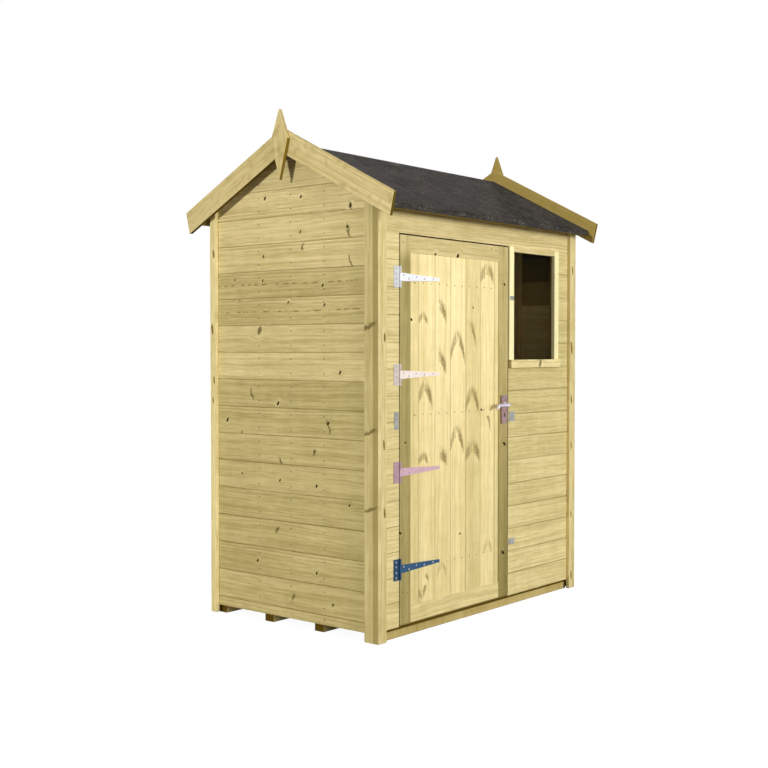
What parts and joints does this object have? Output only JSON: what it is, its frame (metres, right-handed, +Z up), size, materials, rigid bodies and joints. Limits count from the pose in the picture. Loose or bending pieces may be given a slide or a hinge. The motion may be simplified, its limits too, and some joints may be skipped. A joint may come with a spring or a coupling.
{
  "type": "workshop shed",
  "caption": "Small apex-roofed timber workshop shed with boarded walls, felted roof, barge boards and finials, a strap-hinged ledged door with a lever lock, and a fixed window.",
  "frame": {"origin": "on the ground under the middle of the floor", "axes": "+X right along the door wall, door wall faces -Y, +Z up"},
  "size_m": [1.606, 1.19, 2.1594],
  "materials": {
    "gable_boards": "pressure-treated softwood boards, satin",
    "front_boards": "pressure-treated softwood boards, satin",
    "door_boards": "pale softwood boards with brown knots",
    "door_frame": "darker softwood, sawn",
    "dark_trim": "green-brown softwood trim",
    "pale_trim": "pale planed softwood trim",
    "roof_trim": "planed softwood, clear treated",
    "framing": "sawn softwood",
    "rough_timber": "rough-sawn treated softwood",
    "floor_boards": "sawn softwood boards",
    "felt": "charcoal mineral-faced roofing felt",
    "pane": "clear glazing sheet",
    "zinc": "zinc-plated steel with tinted passivation",
    "lock_metal": "satin, slightly pink nickel",
    "lever_metal": "satin bright metal"
  },
  "bodies": {
    "shed": {"floor_bearers": "rough_timber", "floor_deck": "floor_boards", "left_gable_wall": "gable_boards", "right_gable_wall": "gable_boards", "back_wall": "gable_boards", "front_wall_left": "front_boards", "front_wall_right": "front_boards", "front_wall_beside_window": "front_boards", "front_frieze": "front_boards", "left_gable_studs": "framing", "right_gable_studs": "framing", "back_studs": "framing", "front_studs": "framing", "wall_rails": "framing", "side_rails": "framing", "corner_trims": "dark_trim", "corner_battens": "pale_trim", "roof_deck_front": "framing", "roof_deck_back": "framing", "felt_front": "felt", "felt_back": "felt", "eaves_rails": "framing", "ridge_beam": "framing", "left_barge_front": "roof_trim", "left_barge_back": "roof_trim", "right_barge_front": "roof_trim", "right_barge_back": "roof_trim", "left_finial": "roof_trim", "right_finial": "roof_trim", "window_jamb_left": "pale_trim", "window_jamb_right": "pale_trim", "window_head": "pale_trim", "window_sill": "pale_trim", "window_pane": "pane", "hinge_plates": "zinc", "small_plates": "zinc"},
    "door": {"door_stile_left": "door_frame", "door_stile_right": "door_frame", "door_top_rail": "door_frame", "door_bottom_rail": "door_frame", "door_panel": "door_boards", "door_ledges": "framing", "hinge_straps": "zinc", "lock_plate": "lock_metal"},
    "lever": {"lever_handle": "lever_metal"}
  },
  "joints": [
    {"name": "door_hinge", "type": "hinge", "parent": "shed", "child": "door", "pos_m": [-0.601, -0.48, 0.87], "axis": [0, 0, -1], "range_deg": [0, 165]},
    {"name": "lever_turn", "type": "hinge", "parent": "door", "child": "lever", "pos_m": [0.147, -0.48, 0.921], "axis": [0, -1, 0], "range_deg": [0, 40], "stiffness_Nm_per_rad": 0.8}
  ]
}
